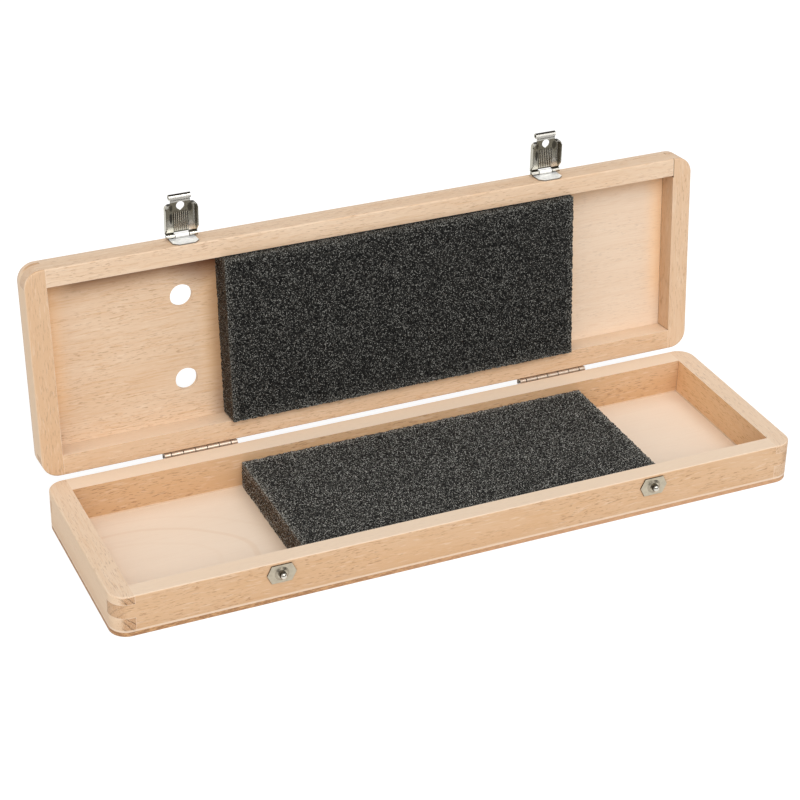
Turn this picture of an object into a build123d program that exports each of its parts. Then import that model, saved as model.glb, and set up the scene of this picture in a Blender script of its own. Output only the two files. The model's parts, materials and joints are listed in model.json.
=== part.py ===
"""Brush box: two shallow beech trays, hinged at the back and held shut by two snap latches.

Millimetres. X runs along the box, Y from the front (-) to the hinge side (+), Z up.
The origin is the centre of the base's underside. Every piece of the lid is drawn on the
closed box and then swung open about the hinge pin, which is the pose of the finished part.
"""

from build123d import *
import math
import os

# ---- Box -----------------------------------------------------------------------------------
BOX_LENGTH = 370.0          # outside, along X
BOX_WIDTH = 111.0           # outside, front to back
BASE_HEIGHT = 22.4          # base tray with its bottom panel
LID_HEIGHT = 14.2           # lid tray with its top panel
PANEL_THICKNESS = 2.8       # beech plywood glued under the base frame and on the lid frame
FRONT_WALL = 9.4            # front slats
BACK_WALL = 11.0            # back slats, thicker because they carry the hinge screws
END_WALL = 11.0             # end slats
CORNER_RADIUS = 9.0         # upright outside corners
RIM_EASE = 0.8              # sanded outer edge of both rims
PANEL_EASE = 0.5            # sanded outer edge of both panels
CUT_MARGIN = 1.0            # how far a cut runs past the piece that it cuts

# Finger joints: the box is glued up whole and then sawn open, so one pattern runs through both.
FINGER_PITCH = 7.6
BASE_RIM_FINGER = 4.4       # what the saw leaves of one finger on the base
SAW_KERF = 2.0
LEAST_FINGER = 0.5          # a thinner one is left on its neighbour

# ---- Foam and vents ------------------------------------------------------------------------
LEFT_WELL = 89.7            # from the left end slat to the foam, room for brush handles
RIGHT_WELL = 62.3           # from the foam to the right end slat, room for brush heads
FOAM_THICKNESS = 15.0
FOAM_GAP = 0.3              # to the front and back slats
VENT_DIAMETER = 12.0
VENT_END_ROOM = 71.0        # from the left end slat to the line of the vents
VENT_FRONT_ROOM = 21.6      # from the front slat to the first vent's centre
VENT_BACK_ROOM = 23.0       # from the back slat to the second vent's centre

# ---- Hinges --------------------------------------------------------------------------------
HINGE_SPACING = 203.2       # between the centres of the two hinges
HINGE_LENGTH = 40.0
HINGE_SHEET = 0.7
HINGE_PIN_DIAMETER = 1.4
HINGE_KNUCKLES = 7
END_KNUCKLE = 3.8           # the first and last knuckle are short
KNUCKLE_GAP = 0.4           # between neighbouring knuckles of a hinge or a latch
LEAF_SEAM_ROOM = 1.4        # from a leaf's far edge to the lid panel's seam
LID_OPEN_ANGLE = 95.0       # where the stop lips of the two leaves meet
STOP_LIP_DROP = 2.2         # from the pin to a stop lip, along the leaf
STOP_GAP = 0.1
PIN_CLEARANCE = 0.05        # radial, pin to the knuckles that turn on it

SCREW_DIAMETER = 2.0
SCREW_HEAD_DIAMETER = 3.6
SCREW_LENGTH = 9.0          # with its point
SCREW_POINT_LENGTH = 1.0
SCREW_POINT_DIAMETER = 0.5
SCREW_SLOT = 0.5
SCREW_SLOT_DEPTH = 0.35
SCREWS_PER_LEAF = 3
SCREW_END_ROOM = 6.4        # from a leaf's end to its first screw
HEAD_CLEARANCE = 0.05
SLOT_TURN = 25.0            # degrees from level, where the screws happened to stop
SLOT_TURN_PER_SCREW = 70.0
SLOT_TURN_PER_LEAF = 40.0

# ---- Latches -------------------------------------------------------------------------------
LATCH_SPACING = 202.4       # between the centres of the two latches
LATCH_SHEET = 0.6
LATCH_PIN_DIAMETER = 1.2
KNUCKLE_LIFT = 0.3          # between a cover's knuckles and the plate under them
LATCH_PIN_RISE = 9.5        # pin axis above the closed rim
LATCH_OPEN_ANGLE = 85.0     # how far a cover is swung out from shut
BARREL_INSET = 0.3          # from the cover's side to the end of its barrel
LATCH_MIDDLE_KNUCKLE = 7.0
LATCH_PLATE_WIDTH = 13.6
LATCH_PLATE_SETBACK = 0.8   # plate's edge from the lid's rim
LATCH_PLATE_CHAMFER = 2.6
TINE_WIDTH = 2.0
TINE_LENGTH = 4.0
TINE_SPACING = 8.0
TINE_RISE = 4.6             # tines above the closed rim

COVER_WIDTH = 17.0
COVER_LENGTH = 17.2         # pin to the tabs
COVER_CORNER = 2.4
COVER_FLOOR_GAP = 0.3       # between the side flanges and the wood
SNAP_CLEARANCE = 0.25       # radial, ball to snap hole
SNAP_POINT = 0.6            # how far the hole is drawn out past its round
SNAP_HOLE_INSET = 1.45      # from the tabs to the centre of the snap hole
FLANGE_START = 0.5          # from the barrel to where the side flanges start
FLANGE_TAPER = 4.0
TAB_LENGTH = 2.9
TAB_DEPTH = 1.6
NECK_GAP = 0.4              # between a tab and the neck of the finger lip
LIP_OVERHANG = 0.5          # how far the rolled lip runs past its neck
LIP_DIAMETER = 2.8
LIP_BEYOND_TABS = 2.9       # from the tabs to the centre of the rolled lip
RIB_COUNT = 7
RIB_PITCH = 1.06
RIB_RADIUS = 0.28
RIB_BARREL_GAP = 1.4
RIB_HOLE_GAP = 0.4

# ---- Strikes -------------------------------------------------------------------------------
STRIKE_GAP = 0.4            # between a point of the strike and the shut cover's flange
STRIKE_POINT = 2.4          # length of each pointed end
STRIKE_HEIGHT = 9.8
BOSS_DIAMETER = 7.4
BOSS_TOP_DIAMETER = 5.0
BOSS_HEIGHT = 0.7
BALL_DIAMETER = 3.8
BALL_UNDER_SHEET = 0.35     # centre of the ball below the shut cover's sheet
STUD_NECK_DIAMETER = 2.4
STUD_SHANK_DIAMETER = 1.8
STUD_SHANK_LENGTH = 7.0

# ---- Worked out ----------------------------------------------------------------------------
HALF_LENGTH = BOX_LENGTH / 2
FRONT_FACE = -BOX_WIDTH / 2
BACK_FACE = BOX_WIDTH / 2
FRONT_INSIDE = FRONT_FACE + FRONT_WALL
BACK_INSIDE = BACK_FACE - BACK_WALL
BASE_FRAME = BASE_HEIGHT - PANEL_THICKNESS
LID_FRAME = LID_HEIGHT - PANEL_THICKNESS
LID_RIM_FINGER = FINGER_PITCH - BASE_RIM_FINGER - SAW_KERF

LEFT_INSIDE = -HALF_LENGTH + END_WALL
RIGHT_INSIDE = HALF_LENGTH - END_WALL
VENT_RADIUS = VENT_DIAMETER / 2
VENT_X = LEFT_INSIDE + VENT_END_ROOM
VENT_YS = (FRONT_INSIDE + VENT_FRONT_ROOM, BACK_INSIDE - VENT_BACK_ROOM)

KNUCKLE_RADIUS = HINGE_PIN_DIAMETER / 2 + HINGE_SHEET
LEAF_DROP = LID_FRAME - LEAF_SEAM_ROOM
SCREW_DROP = (STOP_LIP_DROP + HINGE_SHEET + LEAF_DROP) / 2     # midway between lip and far edge
SCREW_SPACING = (HINGE_LENGTH - 2 * SCREW_END_ROOM) / (SCREWS_PER_LEAF - 1)
HINGE_Y = BACK_FACE + KNUCKLE_RADIUS
HINGE_Z = BASE_HEIGHT
HINGE_AXIS = Axis((0, HINGE_Y, HINGE_Z), (1, 0, 0))

LATCH_KNUCKLE_RADIUS = LATCH_PIN_DIAMETER / 2 + LATCH_SHEET
LATCH_PIN_HEIGHT = LATCH_SHEET + KNUCKLE_LIFT + LATCH_KNUCKLE_RADIUS
LATCH_BARREL_LENGTH = COVER_WIDTH - 2 * BARREL_INSET
LATCH_Y = FRONT_FACE - LATCH_PIN_HEIGHT
LATCH_Z = BASE_HEIGHT + LATCH_PIN_RISE
LATCH_AXIS = Axis((0, LATCH_Y, LATCH_Z), (1, 0, 0))
COVER_OUTER_Y = LATCH_Y - LATCH_KNUCKLE_RADIUS
COVER_INNER_Y = COVER_OUTER_Y + LATCH_SHEET
SNAP_HOLE_REACH = COVER_LENGTH - SNAP_HOLE_INSET
SNAP_HOLE_RADIUS = BALL_DIAMETER / 2 + SNAP_CLEARANCE
LIP_NECK_WIDTH = COVER_WIDTH - 2 * (TAB_LENGTH + NECK_GAP)
RIB_START = LATCH_KNUCKLE_RADIUS + RIB_BARREL_GAP
RIB_END = SNAP_HOLE_REACH - SNAP_HOLE_RADIUS - SNAP_POINT - RIB_HOLE_GAP

STRIKE_Z = LATCH_Z - SNAP_HOLE_REACH
STRIKE_LENGTH = COVER_WIDTH - 2 * (LATCH_SHEET + STRIKE_GAP)
BALL_HEIGHT = FRONT_FACE - COVER_INNER_Y - BALL_UNDER_SHEET    # centre of the ball from the wood

SIDES = {"left": -1, "right": 1}


def block(x0, x1, y0, y1, z0, z1):
    """A box between two corners."""
    size = (x1 - x0, y1 - y0, z1 - z0)
    return Pos((x0 + x1) / 2, (y0 + y1) / 2, (z0 + z1) / 2) * Box(*size)


def rod(radius, x0, x1, y, z):
    """A cylinder along X."""
    return Pos((x0 + x1) / 2, y, z) * Rot(0, 90, 0) * Cylinder(radius, x1 - x0)


def profile_along_x(points, x0, x1):
    """A closed outline of (y, z) points, drawn out from x0 to x1."""
    wire = Polyline(*[(x0, y, z) for y, z in points], close=True)
    return extrude(make_face(wire), x1 - x0, dir=(1, 0, 0))


def save(name, shape):
    export_step(shape, f"parts/{name}.step")


# ---- Wooden trays --------------------------------------------------------------------------
def tray_outline(z0, z1, eased_z, ease):
    """The tray's rounded block from z0 to z1, with one outer edge sanded round."""
    solid = Pos(0, 0, z0) * extrude(RectangleRounded(BOX_LENGTH, BOX_WIDTH, CORNER_RADIUS), z1 - z0)
    edges = [e for e in solid.edges() if abs(e.center().Z - eased_z) < ease / 2]
    return fillet(edges, ease)


def finger_bands(frame_height, rim_finger):
    """The (start, end) of each finger from the rim: those of the ends, then of the long slats."""
    count = int(frame_height // FINGER_PITCH) + 2
    marks = [rim_finger + FINGER_PITCH * index for index in range(count)]
    kept = [i for i, mark in enumerate(marks) if LEAST_FINGER <= mark <= frame_height - LEAST_FINGER]
    cuts = [0.0] + [marks[i] for i in kept] + [frame_height]
    bands = list(zip(cuts, cuts[1:]))
    first = kept[0] % 2 if kept else 0
    return bands[first::2], bands[1 - first::2]


def slats(rim_z, away, frame_height, rim_finger):
    """The four slats of one tray. away is -1 where the frame hangs below its rim, +1 above."""
    far_z = rim_z + away * frame_height
    low_z, high_z = sorted((rim_z, far_z))
    outline = tray_outline(low_z, high_z, rim_z, RIM_EASE)
    end_bands, long_bands = finger_bands(frame_height, rim_finger)
    pieces = {}
    for name, y0, y1 in (("front_slat", FRONT_FACE, FRONT_INSIDE),
                         ("back_slat", BACK_INSIDE, BACK_FACE)):
        slat = block(LEFT_INSIDE, RIGHT_INSIDE, y0, y1, low_z, high_z)
        for start, end in long_bands:
            z0, z1 = sorted((rim_z + away * start, rim_z + away * end))
            slat += block(-HALF_LENGTH, HALF_LENGTH, y0, y1, z0, z1)
        pieces[name] = slat & outline
    for name, x0, x1 in (("left_end", -HALF_LENGTH, LEFT_INSIDE),
                         ("right_end", RIGHT_INSIDE, HALF_LENGTH)):
        slat = block(x0, x1, FRONT_INSIDE, BACK_INSIDE, low_z, high_z)
        for start, end in end_bands:
            z0, z1 = sorted((rim_z + away * start, rim_z + away * end))
            slat += block(x0, x1, FRONT_FACE, BACK_FACE, z0, z1)
        pieces[name] = slat & outline
    return pieces


def foam_pad(z0):
    """A pad across the tray, with a well left free at each end."""
    x0, x1 = LEFT_INSIDE + LEFT_WELL, RIGHT_INSIDE - RIGHT_WELL
    y0, y1 = FRONT_INSIDE + FOAM_GAP, BACK_INSIDE - FOAM_GAP
    return block(x0, x1, y0, y1, z0, z0 + FOAM_THICKNESS)


def top_panel():
    """The lid's panel, with its two vents."""
    seam_z, top_z = BASE_HEIGHT + LID_FRAME, BASE_HEIGHT + LID_HEIGHT
    panel = tray_outline(seam_z, top_z, top_z, PANEL_EASE)
    for y in VENT_YS:
        panel -= Pos(VENT_X, y, (seam_z + top_z) / 2) * Cylinder(
            VENT_RADIUS, PANEL_THICKNESS + 2 * CUT_MARGIN)
    return panel


# ---- Hinges --------------------------------------------------------------------------------
def knuckle_spans(centre_x):
    """(x0, x1) of each knuckle, with the running gap taken off."""
    full = (HINGE_LENGTH - 2 * END_KNUCKLE) / (HINGE_KNUCKLES - 2)
    x = centre_x - HINGE_LENGTH / 2
    spans = []
    for index in range(HINGE_KNUCKLES):
        width = END_KNUCKLE if index in (0, HINGE_KNUCKLES - 1) else full
        spans.append((x + KNUCKLE_GAP / 2, x + width - KNUCKLE_GAP / 2))
        x += width
    return spans


def screw_xs(centre_x):
    first = centre_x - SCREW_SPACING * (SCREWS_PER_LEAF - 1) / 2
    return [first + SCREW_SPACING * index for index in range(SCREWS_PER_LEAF)]


def back_screw(x, z, extra=0.0):
    """A countersunk screw driven forwards from the leaf's outer face; extra widens its head."""
    radius = SCREW_DIAMETER / 2
    shank_length = SCREW_LENGTH - SCREW_POINT_LENGTH
    at_head = Pos(x, BACK_FACE + HINGE_SHEET, z) * Rot(90, 0, 0)       # local +Z runs into the wood
    head = Cone(SCREW_HEAD_DIAMETER / 2 + extra, radius + extra, HINGE_SHEET)
    shank = Cylinder(radius, shank_length)
    point = Cone(radius, SCREW_POINT_DIAMETER / 2, SCREW_POINT_LENGTH)
    return at_head * (Pos(0, 0, HINGE_SHEET / 2) * head
                      + Pos(0, 0, shank_length / 2) * shank
                      + Pos(0, 0, shank_length + SCREW_POINT_LENGTH / 2) * point)


def slotted(screw, x, z, turn):
    """Cuts the driver slot, turned to where the screw happened to stop."""
    slot = Box(SCREW_HEAD_DIAMETER + 2 * CUT_MARGIN, 2 * SCREW_SLOT_DEPTH, SCREW_SLOT)
    return screw - Pos(x, BACK_FACE + HINGE_SHEET, z) * Rot(0, turn, 0) * slot


def hinge_leaf(centre_x, away):
    """One leaf on the closed box: away is -1 on the base and +1 on the lid."""
    x0, x1 = centre_x - HINGE_LENGTH / 2, centre_x + HINGE_LENGTH / 2
    clear = KNUCKLE_RADIUS + KNUCKLE_GAP
    z_far, z_near = HINGE_Z + away * LEAF_DROP, HINGE_Z + away * clear
    leaf = block(x0, x1, BACK_FACE, BACK_FACE + HINGE_SHEET, *sorted((z_far, z_near)))
    reach = STOP_LIP_DROP / math.tan(math.radians(LID_OPEN_ANGLE / 2)) - STOP_GAP
    lip_z = sorted((HINGE_Z + away * STOP_LIP_DROP, HINGE_Z + away * (STOP_LIP_DROP + HINGE_SHEET)))
    leaf += block(x0, x1, BACK_FACE, HINGE_Y + reach, *lip_z)
    # The pin is fast in the base's knuckles, which are the outer ones, and the lid's turn on it.
    first, clearance = (0, 0.0) if away < 0 else (1, PIN_CLEARANCE)
    for k0, k1 in knuckle_spans(centre_x)[first::2]:
        leaf += rod(KNUCKLE_RADIUS, k0, k1, HINGE_Y, HINGE_Z)
        leaf += block(k0, k1, BACK_FACE, BACK_FACE + HINGE_SHEET, *sorted((HINGE_Z, z_near)))
    leaf -= rod(HINGE_PIN_DIAMETER / 2 + clearance, x0 - CUT_MARGIN, x1 + CUT_MARGIN, HINGE_Y, HINGE_Z)
    for x in screw_xs(centre_x):
        leaf -= back_screw(x, HINGE_Z + away * SCREW_DROP, HEAD_CLEARANCE)
    return leaf


# ---- Latches -------------------------------------------------------------------------------
def front_outline(centre_x, z, points):
    """A closed outline of (along, up) points on the front face, as a flat face looking forwards."""
    wire = Polyline(*[(centre_x + u, FRONT_FACE, z + v) for u, v in points], close=True)
    return make_face(wire)


def latch_tines(centre_x):
    """The two flat teeth that hold the plate in the front slat."""
    tines = []
    for side in (-1, 1):
        x = centre_x + side * TINE_SPACING / 2
        z = BASE_HEIGHT + TINE_RISE
        half = TINE_WIDTH / 2
        tines.append(block(x - half, x + half, FRONT_FACE, FRONT_FACE + TINE_LENGTH, z, z + LATCH_SHEET))
    return tines


def latch_plate(centre_x):
    """The plate on the lid, with its tines and the middle knuckle."""
    half, cut = LATCH_PLATE_WIDTH / 2, LATCH_PLATE_CHAMFER
    low = LATCH_PLATE_SETBACK
    high = LATCH_PIN_RISE + LATCH_KNUCKLE_RADIUS
    points = [(-half, high), (-half, low + cut), (-half + cut, low), (half - cut, low),
              (half, low + cut), (half, high)]
    plate = extrude(front_outline(centre_x, BASE_HEIGHT, points), LATCH_SHEET, dir=(0, -1, 0))
    for tine in latch_tines(centre_x):
        plate += tine
    x0 = centre_x - LATCH_MIDDLE_KNUCKLE / 2
    x1 = centre_x + LATCH_MIDDLE_KNUCKLE / 2
    plate += block(x0, x1, LATCH_Y, FRONT_FACE,
                   LATCH_Z + LATCH_PIN_DIAMETER / 2, LATCH_Z + LATCH_KNUCKLE_RADIUS)
    plate += rod(LATCH_KNUCKLE_RADIUS, x0, x1, LATCH_Y, LATCH_Z)
    return plate - rod(LATCH_PIN_DIAMETER / 2, x0 - CUT_MARGIN, x1 + CUT_MARGIN, LATCH_Y, LATCH_Z)


def snap_hole(centre_x):
    """The cover's round hole, drawn out to a point on the pin's side."""
    radius, point = SNAP_HOLE_RADIUS, SNAP_HOLE_RADIUS + SNAP_POINT
    depth = LATCH_PIN_HEIGHT + LATCH_KNUCKLE_RADIUS + CUT_MARGIN
    hole = Pos(centre_x, FRONT_FACE - depth / 2, STRIKE_Z) * Rot(90, 0, 0) * Cylinder(radius, depth)
    # The pointed part is a kite from the centre to where its sides touch the round.
    slope = math.asin(radius / point)
    side = point * math.cos(slope) * math.sin(slope)
    up = point - point * math.cos(slope) ** 2
    kite = [(0, point), (side, up), (0, 0), (-side, up)]
    return hole + extrude(front_outline(centre_x, STRIKE_Z, kite), depth, dir=(0, -1, 0))


def cover_shell(centre_x):
    """Sheet and side flanges, open towards the wood, with two tabs at the finger end."""
    half = COVER_WIDTH / 2
    low_z = LATCH_Z - COVER_LENGTH
    floor_y = FRONT_FACE - COVER_FLOOR_GAP
    past_floor = floor_y + CUT_MARGIN
    finger_end = LATCH_Z - COVER_LENGTH / 2     # corners below this are at the finger end

    shell = block(centre_x - half, centre_x + half, COVER_OUTER_Y, floor_y, low_z, LATCH_Z)
    corners = [e for e in shell.edges().filter_by(Axis.Y) if e.center().Z < finger_end]
    shell = fillet(corners, COVER_CORNER)
    hollow = block(centre_x - half + LATCH_SHEET, centre_x + half - LATCH_SHEET,
                   COVER_INNER_Y, past_floor, low_z + LATCH_SHEET, LATCH_Z + CUT_MARGIN)
    corners = [e for e in hollow.edges().filter_by(Axis.Y) if e.center().Z < finger_end]
    shell -= fillet(corners, COVER_CORNER - LATCH_SHEET)

    # The end wall is cut away between the tabs, and the tabs are shallower than the flanges.
    tab_inner = half - TAB_LENGTH
    tab_zs = (low_z - CUT_MARGIN, low_z + COVER_CORNER)
    shell -= block(centre_x - tab_inner, centre_x + tab_inner, COVER_INNER_Y, past_floor, *tab_zs)
    shell -= block(centre_x - half - CUT_MARGIN, centre_x + half + CUT_MARGIN,
                   COVER_INNER_Y + TAB_DEPTH, past_floor, *tab_zs)

    # The flanges run out to nothing beside the knuckles.
    top_z, start_z = LATCH_Z + CUT_MARGIN, LATCH_Z - LATCH_KNUCKLE_RADIUS - FLANGE_START
    taper = [(COVER_INNER_Y, top_z), (COVER_INNER_Y, start_z),
             (past_floor, start_z - FLANGE_TAPER), (past_floor, top_z)]
    return shell - profile_along_x(taper, centre_x - half - CUT_MARGIN, centre_x + half + CUT_MARGIN)


def latch_cover(centre_x):
    """The snap cover, shut: shell, two knuckles, rolled finger lip and pressed ribs."""
    half, barrel = COVER_WIDTH / 2, LATCH_BARREL_LENGTH / 2
    past_outer, past_wood = COVER_OUTER_Y - CUT_MARGIN, FRONT_FACE + CUT_MARGIN
    barrel_low, barrel_high = LATCH_Z - LATCH_KNUCKLE_RADIUS, LATCH_Z + LATCH_KNUCKLE_RADIUS
    cover = cover_shell(centre_x)

    # Barrel: two knuckles, with room between them for the plate's own.
    middle = LATCH_MIDDLE_KNUCKLE / 2 + KNUCKLE_GAP
    for side in (-1, 1):
        knuckle = sorted((centre_x + side * middle, centre_x + side * barrel))
        cover += rod(LATCH_KNUCKLE_RADIUS, *knuckle, LATCH_Y, LATCH_Z)
        beside = sorted((centre_x + side * barrel, centre_x + side * (half + CUT_MARGIN)))
        cover -= block(*beside, past_outer, past_wood, barrel_low, barrel_high)
    cover -= block(centre_x - middle, centre_x + middle, past_outer, past_wood,
                   barrel_low - COVER_FLOOR_GAP, barrel_high)
    cover -= rod(LATCH_PIN_DIAMETER / 2 + PIN_CLEARANCE, centre_x - half, centre_x + half,
                 LATCH_Y, LATCH_Z)

    # Finger lip: the sheet runs on and is rolled outwards into a tube.
    lip_radius, neck = LIP_DIAMETER / 2, LIP_NECK_WIDTH / 2
    low_z = LATCH_Z - COVER_LENGTH
    lip_y, lip_z = COVER_INNER_Y - lip_radius, low_z - LIP_BEYOND_TABS
    cover += block(centre_x - neck, centre_x + neck, COVER_OUTER_Y, COVER_INNER_Y,
                   lip_z, low_z + COVER_CORNER)
    cover += rod(lip_radius, centre_x - neck - LIP_OVERHANG, centre_x + neck + LIP_OVERHANG,
                 lip_y, lip_z)
    cover -= rod(lip_radius - LATCH_SHEET, centre_x - half, centre_x + half, lip_y, lip_z)

    # Pressed ribs on the inner face, between the barrel and the snap hole.
    for index in range(RIB_COUNT):
        x = centre_x + (index - (RIB_COUNT - 1) / 2) * RIB_PITCH
        rib_z = LATCH_Z - (RIB_START + RIB_END) / 2
        cover += Pos(x, COVER_INNER_Y, rib_z) * Cylinder(RIB_RADIUS, RIB_END - RIB_START)
    return cover - snap_hole(centre_x)


# ---- Strikes -------------------------------------------------------------------------------
def front_disc(centre_x, out, radius, top_radius, height):
    """A round frustum standing on the plane `out` in front of the wood."""
    y = FRONT_FACE - out - height / 2
    return Pos(centre_x, y, STRIKE_Z) * Rot(90, 0, 0) * Cone(radius, top_radius, height)


def stud_shank(centre_x):
    """The part of the stud that holds the strike plate to the front slat."""
    through_plate = LATCH_SHEET + BOSS_HEIGHT
    length = through_plate + STUD_SHANK_LENGTH
    y = FRONT_FACE - through_plate + length / 2
    return Pos(centre_x, y, STRIKE_Z) * Rot(90, 0, 0) * Cylinder(STUD_SHANK_DIAMETER / 2, length)


def strike_plate(centre_x):
    """A hexagonal plate with a round boss, held by the stud through its middle."""
    point, half = STRIKE_LENGTH / 2, STRIKE_HEIGHT / 2
    flat = point - STRIKE_POINT
    points = [(-point, 0), (-flat, -half), (flat, -half), (point, 0), (flat, half), (-flat, half)]
    plate = extrude(front_outline(centre_x, STRIKE_Z, points), LATCH_SHEET, dir=(0, -1, 0))
    plate += front_disc(centre_x, LATCH_SHEET, BOSS_DIAMETER / 2, BOSS_TOP_DIAMETER / 2, BOSS_HEIGHT)
    return plate - stud_shank(centre_x)


def ball_stud(centre_x):
    """Shank, neck and the ball that the cover's hole snaps over."""
    boss_top = LATCH_SHEET + BOSS_HEIGHT
    neck = Pos(centre_x, FRONT_FACE - (boss_top + BALL_HEIGHT) / 2, STRIKE_Z) * Rot(90, 0, 0)
    neck *= Cylinder(STUD_NECK_DIAMETER / 2, BALL_HEIGHT - boss_top)
    ball = Pos(centre_x, FRONT_FACE - BALL_HEIGHT, STRIKE_Z) * Sphere(BALL_DIAMETER / 2)
    ball -= block(centre_x - BALL_DIAMETER, centre_x + BALL_DIAMETER,
                  FRONT_FACE - boss_top, FRONT_FACE + CUT_MARGIN,
                  STRIKE_Z - BALL_DIAMETER, STRIKE_Z + BALL_DIAMETER)
    return stud_shank(centre_x) + neck + ball


# ---- Assembly ------------------------------------------------------------------------------
def swing_lid(shape):
    """From the closed box to the open pose."""
    return shape.rotate(HINGE_AXIS, -LID_OPEN_ANGLE)


def save_hinge(side, sign, base_back, lid_back):
    """Writes one hinge; returns both back slats with the screw holes, and the screws."""
    hinge_x = sign * HINGE_SPACING / 2
    half = HINGE_LENGTH / 2
    save(f"hinge_{side}_base_leaf", hinge_leaf(hinge_x, -1))
    save(f"hinge_{side}_lid_leaf", swing_lid(hinge_leaf(hinge_x, 1)))
    save(f"hinge_{side}_pin", rod(HINGE_PIN_DIAMETER / 2, hinge_x - half, hinge_x + half,
                                  HINGE_Y, HINGE_Z))
    slats_by_leaf, screws_by_leaf = {-1: base_back, 1: lid_back}, {-1: [], 1: []}
    for away in (-1, 1):
        z = HINGE_Z + away * SCREW_DROP
        for index, x in enumerate(screw_xs(hinge_x)):
            screw = back_screw(x, z)
            turn = SLOT_TURN + SLOT_TURN_PER_SCREW * index * sign + SLOT_TURN_PER_LEAF * away
            slats_by_leaf[away] -= screw
            screws_by_leaf[away].append(slotted(screw, x, z, turn))
    return slats_by_leaf[-1], slats_by_leaf[1], screws_by_leaf[-1], screws_by_leaf[1]


def save_latch(side, sign):
    """Writes one latch and its strike, and returns what they cut from the two front slats."""
    latch_x = sign * LATCH_SPACING / 2
    barrel = LATCH_BARREL_LENGTH / 2
    save(f"latch_{side}_plate", swing_lid(latch_plate(latch_x)))
    save(f"latch_{side}_pin", swing_lid(rod(LATCH_PIN_DIAMETER / 2, latch_x - barrel,
                                            latch_x + barrel, LATCH_Y, LATCH_Z)))
    cover = latch_cover(latch_x).rotate(LATCH_AXIS, -LATCH_OPEN_ANGLE)
    save(f"latch_{side}_cover", swing_lid(cover))
    save(f"strike_{side}_plate", strike_plate(latch_x))
    save(f"strike_{side}_stud", ball_stud(latch_x))
    return latch_tines(latch_x), stud_shank(latch_x)


def main():
    os.makedirs("parts", exist_ok=True)
    base_slats = slats(BASE_HEIGHT, -1, BASE_FRAME, BASE_RIM_FINGER)
    lid_slats = slats(BASE_HEIGHT, 1, LID_FRAME, LID_RIM_FINGER)

    base_screws, lid_screws = [], []
    for side, sign in SIDES.items():
        base_back, lid_back, in_base, in_lid = save_hinge(
            side, sign, base_slats["back_slat"], lid_slats["back_slat"])
        base_slats["back_slat"], lid_slats["back_slat"] = base_back, lid_back
        base_screws += in_base
        lid_screws += in_lid

        tines, shank = save_latch(side, sign)
        for tine in tines:
            lid_slats["front_slat"] -= tine
        base_slats["front_slat"] -= shank

    for name, shape in base_slats.items():
        save(f"base_{name}", shape)
    for name, shape in lid_slats.items():
        save(f"lid_{name}", swing_lid(shape))
    save("base_bottom_panel", tray_outline(0, PANEL_THICKNESS, 0, PANEL_EASE))
    save("lid_top_panel", swing_lid(top_panel()))
    save("base_foam_pad", foam_pad(PANEL_THICKNESS))
    save("lid_foam_pad", swing_lid(foam_pad(BASE_HEIGHT + LID_FRAME - FOAM_THICKNESS)))
    save("base_hinge_screws", Compound(children=base_screws))
    save("lid_hinge_screws", swing_lid(Compound(children=lid_screws)))


main()
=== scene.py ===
# %% [markdown]
# # A wooden brush box, standing open
#
# Two shallow beech trays are hinged at the back. Each holds a pad of charcoal foam, and two
# snap latches on the lid close over ball studs on the base. The solid model already has every
# piece at its real size, so this lesson adds what a solid model can't show: the figure of the
# wood, the open cells of the foam, the nickel plate and the light of a studio.

# %% Load the fixed frame
import json
import math

import bpy
from mathutils import Matrix, Quaternion, Vector


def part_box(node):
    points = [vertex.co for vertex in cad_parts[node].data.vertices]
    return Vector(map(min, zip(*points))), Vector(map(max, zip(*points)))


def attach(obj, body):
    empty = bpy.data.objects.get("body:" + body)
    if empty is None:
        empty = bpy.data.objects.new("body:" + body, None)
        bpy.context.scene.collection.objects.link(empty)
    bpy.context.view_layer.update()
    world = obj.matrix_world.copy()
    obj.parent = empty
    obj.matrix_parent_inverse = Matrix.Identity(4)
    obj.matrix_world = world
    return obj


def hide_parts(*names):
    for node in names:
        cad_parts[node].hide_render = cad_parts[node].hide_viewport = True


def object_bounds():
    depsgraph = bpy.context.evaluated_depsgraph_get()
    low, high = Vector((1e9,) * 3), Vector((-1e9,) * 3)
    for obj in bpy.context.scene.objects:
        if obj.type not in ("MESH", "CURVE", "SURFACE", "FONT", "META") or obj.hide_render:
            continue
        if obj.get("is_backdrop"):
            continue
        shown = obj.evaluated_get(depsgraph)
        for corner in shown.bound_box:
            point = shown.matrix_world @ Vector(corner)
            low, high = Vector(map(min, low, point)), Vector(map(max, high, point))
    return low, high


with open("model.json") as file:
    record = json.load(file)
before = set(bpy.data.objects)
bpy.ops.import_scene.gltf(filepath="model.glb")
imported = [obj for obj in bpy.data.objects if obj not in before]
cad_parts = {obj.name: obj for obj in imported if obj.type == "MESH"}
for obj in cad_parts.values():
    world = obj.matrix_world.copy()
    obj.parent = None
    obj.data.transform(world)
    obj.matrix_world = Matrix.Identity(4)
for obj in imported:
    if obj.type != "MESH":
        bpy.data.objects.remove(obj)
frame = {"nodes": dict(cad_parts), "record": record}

cad_low, cad_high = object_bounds()
MM = 0.001

# %% [markdown]
# ## The camera
#
# The view was found by fitting a pinhole camera to the straight edges of the box. It needs a
# focal length, a direction and a small sideways shift, because the picture isn't centred on
# the lens. Blender wants the focal length in millimetres of a 36 mm sensor, so it is worked
# out from pixels.

# %% Camera
PICTURE = 800                     # pixels, both ways
FOCAL_PIXELS = 2200.8
LENS_COLUMN = 370.0               # pixel column that the lens points at
AZIMUTH = math.radians(-23.69)    # 0 looks along +Y
ELEVATION = math.radians(29.87)
ROLL = math.radians(0.55)
DISTANCE = 1.1824
TARGET = Vector((0.0007, 0.0736, 0.0200))

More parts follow.
